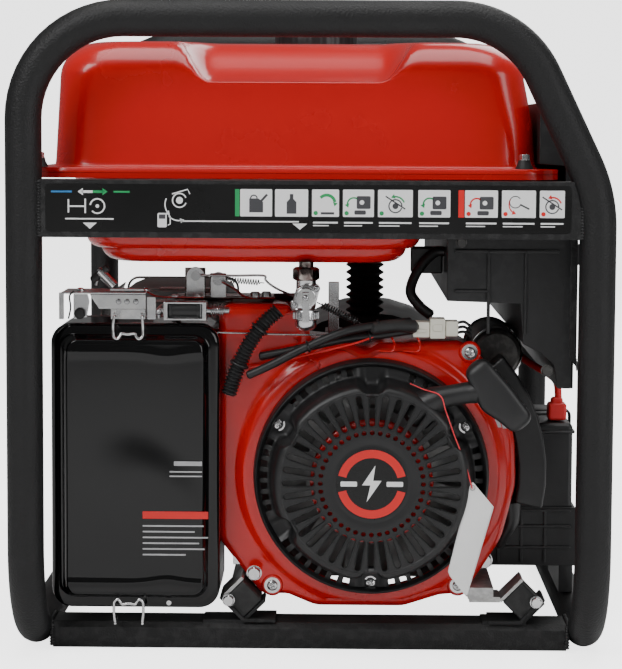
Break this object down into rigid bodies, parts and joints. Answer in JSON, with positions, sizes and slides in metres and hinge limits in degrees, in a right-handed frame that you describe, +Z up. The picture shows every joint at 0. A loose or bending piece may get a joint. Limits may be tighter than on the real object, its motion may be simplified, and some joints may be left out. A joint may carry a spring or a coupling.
{
  "type": "portable generator",
  "caption": "Open-frame petrol generator with a tube frame, red fuel tank, recoil starter, box air filter and side control panel.",
  "frame": {"origin": "on the ground under the middle of the tube frame", "axes": "+Z up, +Y along the crankshaft away from the recoil starter, +X towards the control panel side"},
  "size_m": [0.53, 0.695, 0.58],
  "materials": {
    "frame_paint": "fine textured black powder coat",
    "red_paint": "red gloss enamel with slight orange peel",
    "black_plastic": "black moulded plastic",
    "gloss_black": "gloss black enamel on pressed steel",
    "panel_paint": "satin black panel paint",
    "rubber": "black rubber",
    "zinc": "bright zinc plate",
    "dark_zinc": "dull yellowed zinc plate",
    "cast_alloy": "cast aluminium",
    "steel": "turned steel",
    "dark_steel": "dark painted steel",
    "winding_steel": "laminated steel with varnished windings",
    "white_nylon": "natural nylon",
    "foam": "oiled filter foam",
    "white_card": "white card",
    "red_string": "thin red cord"
  },
  "bodies": {
    "root": {"near_hoop": "frame_paint", "far_hoop": "frame_paint", "near_tank_bar": "frame_paint", "far_tank_bar": "frame_paint", "near_crossbar": "frame_paint", "far_crossbar": "frame_paint", "near_isolator_left": "rubber", "near_isolator_right": "rubber", "far_isolator_left": "rubber", "far_isolator_right": "rubber", "fuel_tank_upper": "red_paint", "fuel_tank_lower": "red_paint", "fuel_strainer": "white_nylon", "fuel_valve_body": "cast_alloy", "sediment_cup": "zinc", "fuel_hose": "rubber", "carburettor": "cast_alloy", "crankcase": "cast_alloy", "cylinder_head": "cast_alloy", "rocker_cover": "dark_steel", "fan_shroud": "red_paint", "recoil_cover": "black_plastic", "side_duct": "black_plastic", "starter_motor": "dark_steel", "muffler": "dark_steel", "alternator_housing": "dark_steel", "alternator_cover": "cast_alloy", "air_filter_cover": "gloss_black", "air_filter_base": "black_plastic", "filter_element": "foam", "control_bracket": "zinc", "throttle_solenoid": "zinc", "throttle_bracket": "dark_zinc", "control_box": "black_plastic", "panel_plate": "panel_paint", "socket_1": "black_plastic", "socket_2": "black_plastic", "battery": "black_plastic", "battery_tray": "black_plastic", "wire_conduit": "rubber", "lead_lower": "rubber", "lead_upper": "rubber", "strap_lead": "rubber", "wire_connector": "white_nylon", "hang_tag": "white_card", "tag_string": "red_string"},
    "engine_shaft": {"crankshaft": "steel", "flywheel_fan": "cast_alloy", "alternator_rotor": "winding_steel"},
    "recoil_grip": {"recoil_grip": "black_plastic"},
    "recoil_reel": {"recoil_reel": "black_plastic"},
    "fuel_cap": {"fuel_cap": "black_plastic"},
    "fuel_valve_lever": {"fuel_valve_lever": "cast_alloy"},
    "choke_lever": {"choke_lever": "dark_steel"},
    "solenoid_plunger": {"solenoid_plunger": "steel"},
    "governor_arm": {"governor_arm": "zinc"},
    "filter_clip_top": {"filter_clip_top": "zinc"},
    "filter_clip_bottom": {"filter_clip_bottom": "zinc"},
    "ignition_key": {"ignition_key": "steel"},
    "breaker_button": {"breaker_button": "white_nylon"}
  },
  "joints": [
    {"name": "engine_spin", "type": "hinge", "parent": "root", "child": "engine_shaft", "pos_m": [0.055, 0, 0.1585], "axis": [0, 1, 0], "continuous": true},
    {"name": "recoil_pull", "type": "slide", "parent": "root", "child": "recoil_grip", "axis": [0.12, -0.9903, 0.07], "range_m": [0, 0.5], "stiffness_N_per_m": 25},
    {"name": "reel_spin", "type": "hinge", "parent": "root", "child": "recoil_reel", "pos_m": [0.055, 0, 0.1585], "axis": [0, 1, 0], "range_deg": [0, 660]},
    {"name": "cap_turn", "type": "hinge", "parent": "root", "child": "fuel_cap", "pos_m": [0, 0, 0.556], "axis": [0, 0, 1], "range_deg": [0, 90]},
    {"name": "fuel_valve_turn", "type": "hinge", "parent": "root", "child": "fuel_valve_lever", "pos_m": [-0.0045, -0.2848, 0.32], "axis": [0, 1, 0], "range_deg": [0, 90]},
    {"name": "choke_slide", "type": "slide", "parent": "root", "child": "choke_lever", "axis": [1, 0, 0], "range_m": [0, 0.016]},
    {"name": "plunger_stroke", "type": "slide", "parent": "root", "child": "solenoid_plunger", "axis": [-1, 0, 0], "range_m": [0, 0.008], "stiffness_N_per_m": 250},
    {"name": "governor_swing", "type": "hinge", "parent": "root", "child": "governor_arm", "pos_m": [0.02, -0.188, 0.285], "axis": [0, 1, 0], "range_deg": [-12, 12], "stiffness_Nm_per_rad": 0.4},
    {"name": "clip_top_swing", "type": "hinge", "parent": "root", "child": "filter_clip_top", "pos_m": [-0.1615, -0.3005, 0.3055], "axis": [1, 0, 0], "range_deg": [-110, 0]},
    {"name": "clip_bottom_swing", "type": "hinge", "parent": "root", "child": "filter_clip_bottom", "pos_m": [-0.1615, -0.3005, 0.0275], "axis": [1, 0, 0], "range_deg": [0, 110]},
    {"name": "key_turn", "type": "hinge", "parent": "root", "child": "ignition_key", "pos_m": [0.239, -0.14, 0.352], "axis": [1, 0, 0], "range_deg": [0, 60]},
    {"name": "breaker_press", "type": "slide", "parent": "root", "child": "breaker_button", "axis": [-1, 0, 0], "range_m": [0, 0.003], "stiffness_N_per_m": 400}
  ],
  "couplings": [
    {"joint": "reel_spin", "follows": "recoil_pull", "rad_per_m": 22.2}
  ]
}
